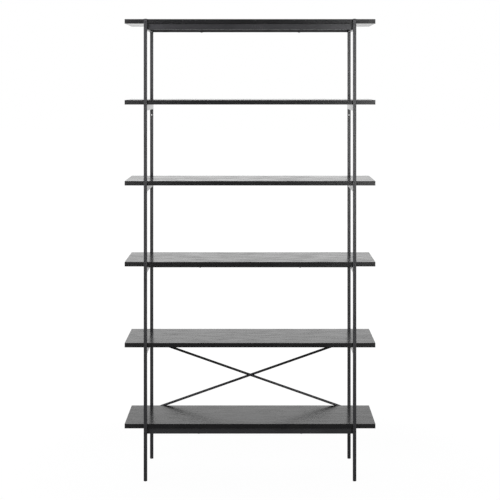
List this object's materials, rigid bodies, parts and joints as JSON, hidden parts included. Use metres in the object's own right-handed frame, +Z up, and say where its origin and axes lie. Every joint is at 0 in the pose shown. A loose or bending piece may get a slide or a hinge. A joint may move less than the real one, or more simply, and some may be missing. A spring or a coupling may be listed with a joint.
{
  "type": "bookcase with adjustable shelves",
  "caption": "Tall open bookcase: black veneered boards between two thin square-tube steel side frames, with a rod cross-brace low at the back; some shelves lift off their studs.",
  "frame": {"origin": "on the floor, under the middle of the bookcase", "axes": "+Z up, front faces -Y, +X to the right seen from the front"},
  "size_m": [1, 0.353, 1.8414],
  "materials": {
    "frame_steel": "satin black powder coat, very fine texture",
    "shelf_veneer": "black-stained open-pore oak veneer under a thin satin lacquer",
    "cap_plastic": "moulded black plastic, matt",
    "glide_plastic": "moulded black polyamide, matt",
    "screw_steel": "black zinc-plated steel"
  },
  "bodies": {
    "frame": {"post_front_left": "frame_steel", "post_rear_left": "frame_steel", "post_front_right": "frame_steel", "post_rear_right": "frame_steel", "cap_front_left": "cap_plastic", "cap_rear_left": "cap_plastic", "cap_front_right": "cap_plastic", "cap_rear_right": "cap_plastic", "glide_front_left": "glide_plastic", "glide_rear_left": "glide_plastic", "glide_front_right": "glide_plastic", "glide_rear_right": "glide_plastic", "rung_1_left": "frame_steel", "rung_1_right": "frame_steel", "rung_4_left": "frame_steel", "rung_4_right": "frame_steel", "rung_6_left": "frame_steel", "rung_6_right": "frame_steel", "rail_1_front": "frame_steel", "rail_1_rear": "frame_steel", "rail_6_front": "frame_steel", "rail_6_rear": "frame_steel", "stretcher_4": "frame_steel", "board_1": "shelf_veneer", "board_4": "shelf_veneer", "board_6": "shelf_veneer", "studs_2": "screw_steel", "studs_3": "screw_steel", "studs_5": "screw_steel", "brace_rod_rising": "frame_steel", "brace_rod_falling": "frame_steel", "brace_screws": "screw_steel", "board_screws_1": "screw_steel", "board_screws_4": "screw_steel", "board_screws_6": "screw_steel"},
    "shelf_2": {"board_2": "shelf_veneer", "bearer_2_left": "frame_steel", "bearer_2_right": "frame_steel", "board_screws_2": "screw_steel"},
    "shelf_3": {"board_3": "shelf_veneer", "bearer_3_left": "frame_steel", "bearer_3_right": "frame_steel", "board_screws_3": "screw_steel"},
    "shelf_5": {"board_5": "shelf_veneer", "bearer_5_left": "frame_steel", "bearer_5_right": "frame_steel", "board_screws_5": "screw_steel"}
  },
  "joints": [
    {"name": "shelf_2_lift", "type": "slide", "parent": "frame", "child": "shelf_2", "axis": [0, 0, 1], "range_m": [0, 0.275]},
    {"name": "shelf_3_lift", "type": "slide", "parent": "frame", "child": "shelf_3", "axis": [0, 0, 1], "range_m": [0, 0.275]},
    {"name": "shelf_5_lift", "type": "slide", "parent": "frame", "child": "shelf_5", "axis": [0, 0, 1], "range_m": [0, 0.275]}
  ]
}
